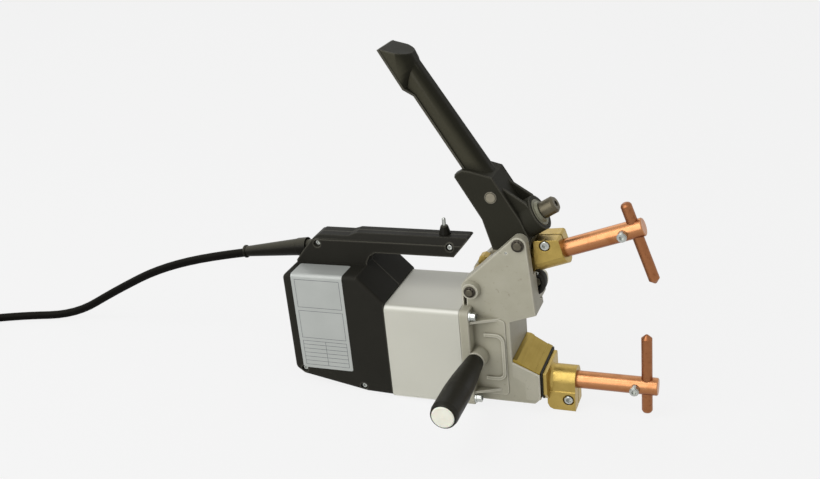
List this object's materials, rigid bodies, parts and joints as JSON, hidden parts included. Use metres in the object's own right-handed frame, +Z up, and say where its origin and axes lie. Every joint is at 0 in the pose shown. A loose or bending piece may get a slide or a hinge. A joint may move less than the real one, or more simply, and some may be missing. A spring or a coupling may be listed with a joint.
{
  "type": "portable spot welder",
  "caption": "Hand-held spot welder: box transformer with fixed handle, cast head, hand lever that closes two copper arms, side grip and mains cord.",
  "frame": {"origin": "middle of the tool's footprint on the bench, cord left out", "axes": "+X towards the electrode arms, +Z up, -Y towards the side grip; the tool lies nose-up on the casing's rear edge and the lower clamp's heel"},
  "size_m": [0.9763, 0.3455, 0.4035],
  "materials": {
    "grey_paint": "semi-gloss grey-beige paint",
    "casting": "satin grey paint on a sand-textured casting",
    "black_plastic": "satin moulded, fine grain",
    "grip_rubber": "satin moulded grip",
    "ivory_plastic": "satin",
    "copper": "drawn copper, brushed along, slightly oxidised",
    "brass": "cast brass, machined faces",
    "dark_brass": "machined brass, dulled",
    "zinc": "bright zinc",
    "dark_steel": "blackened steel",
    "pin_steel": "plain steel, dull",
    "insulation": "pressed board",
    "rubber": "moulded",
    "cord_rubber": "satin rubber sheath",
    "lamination_steel": "stacked silicon steel",
    "winding": "enamelled copper wire",
    "circuit_board": "green solder mask",
    "aluminium": "extruded",
    "grey_disc": "satin grey"
  },
  "bodies": {
    "tool": {"casing": "grey_paint", "control_board": "circuit_board", "cord": "cord_rubber", "cord_coil": "cord_rubber", "cord_tail": "cord_rubber", "cord_tie": "black_plastic", "flange_bolts": "zinc", "flexible_shunt": "insulation", "head_casting": "casting", "holder_pin": "pin_steel", "holder_pin_clips": "dark_steel", "housing_far_shell": "black_plastic", "housing_near_shell": "black_plastic", "housing_screws": "zinc", "lever_pin": "pin_steel", "lever_pin_clips": "dark_steel", "lower_clamp_bolt": "zinc", "lower_holder": "brass", "micro_switch": "black_plastic", "plug": "black_plastic", "plug_earth_contacts": "brass", "plug_pins": "zinc", "primary_winding": "winding", "rear_frame": "zinc", "secondary_turn": "copper", "side_grip": "grip_rubber", "side_grip_cap": "ivory_plastic", "side_grip_stud": "zinc", "strain_relief": "rubber", "switch_boot": "rubber", "terminal_block": "dark_brass", "terminal_insulator": "insulation", "terminal_screws": "zinc", "terminal_strip": "ivory_plastic", "thyristor_heat_sink": "aluminium", "tie_nuts": "zinc", "transformer_core": "lamination_steel"},
    "hand_lever": {"hand_lever": "black_plastic", "lever_cross_pin": "pin_steel", "plunger": "pin_steel", "plunger_roller": "pin_steel", "roller_pin": "zinc", "force_spring": "dark_steel"},
    "force_cap": {"force_cap": "grey_disc"},
    "force_screw": {"force_screw": "dark_steel"},
    "rocker": {"upper_holder": "brass", "upper_clamp_bolt": "zinc", "holder_bushes": "brass"},
    "upper_arm": {"upper_arm": "copper", "upper_cotter": "zinc"},
    "upper_electrode": {"upper_electrode": "copper"},
    "lower_arm": {"lower_arm": "copper", "lower_cotter": "zinc"},
    "lower_electrode": {"lower_electrode": "copper"},
    "switch_pin": {"switch_pin": "zinc"}
  },
  "joints": [
    {"name": "lever_swing", "type": "hinge", "parent": "tool", "child": "hand_lever", "pos_m": [0.09664, 0.0578, 0.20743], "axis": [0, -1, 0], "range_deg": [0, 46], "stiffness_Nm_per_rad": 1.6, "springref_deg": -57.3},
    {"name": "upper_arm_swing", "type": "hinge", "parent": "tool", "child": "rocker", "pos_m": [0.04653, 0.0578, 0.14795], "axis": [0, 1, 0], "range_deg": [0, 18.5], "deforming": ["flexible_shunt"]},
    {"name": "force_cap_slide", "type": "slide", "parent": "hand_lever", "child": "force_cap", "axis": [0.8102, 0, 0.5862], "range_m": [0, 0.003]},
    {"name": "force_screw_turn", "type": "hinge", "parent": "force_cap", "child": "force_screw", "pos_m": [0.10928, 0.0578, 0.23262], "axis": [0.8102, 0, 0.5862], "range_deg": [0, 720]},
    {"name": "upper_arm_slide", "type": "slide", "parent": "rocker", "child": "upper_arm", "axis": [0.9133, 0, 0.4073], "range_m": [0, 0.01]},
    {"name": "upper_electrode_slide", "type": "slide", "parent": "upper_arm", "child": "upper_electrode", "axis": [-0.4073, 0, 0.9133], "range_m": [0, 0.015]},
    {"name": "lower_arm_slide", "type": "slide", "parent": "tool", "child": "lower_arm", "axis": [0.9964, 0, 0.0852], "range_m": [0, 0.01]},
    {"name": "lower_electrode_slide", "type": "slide", "parent": "lower_arm", "child": "lower_electrode", "axis": [0.0852, 0, -0.9964], "range_m": [0, 0.006]},
    {"name": "switch_press", "type": "slide", "parent": "tool", "child": "switch_pin", "axis": [0.0852, 0, -0.9964], "range_m": [0, 0.0028], "stiffness_N_per_m": 300, "springref_m": -0.004}
  ],
  "couplings": [
    {"joint": "upper_arm_swing", "follows": "lever_swing", "ratio": 0.40217},
    {"joint": "force_screw_turn", "follows": "force_cap_slide", "rad_per_m": 4188.7}
  ]
}
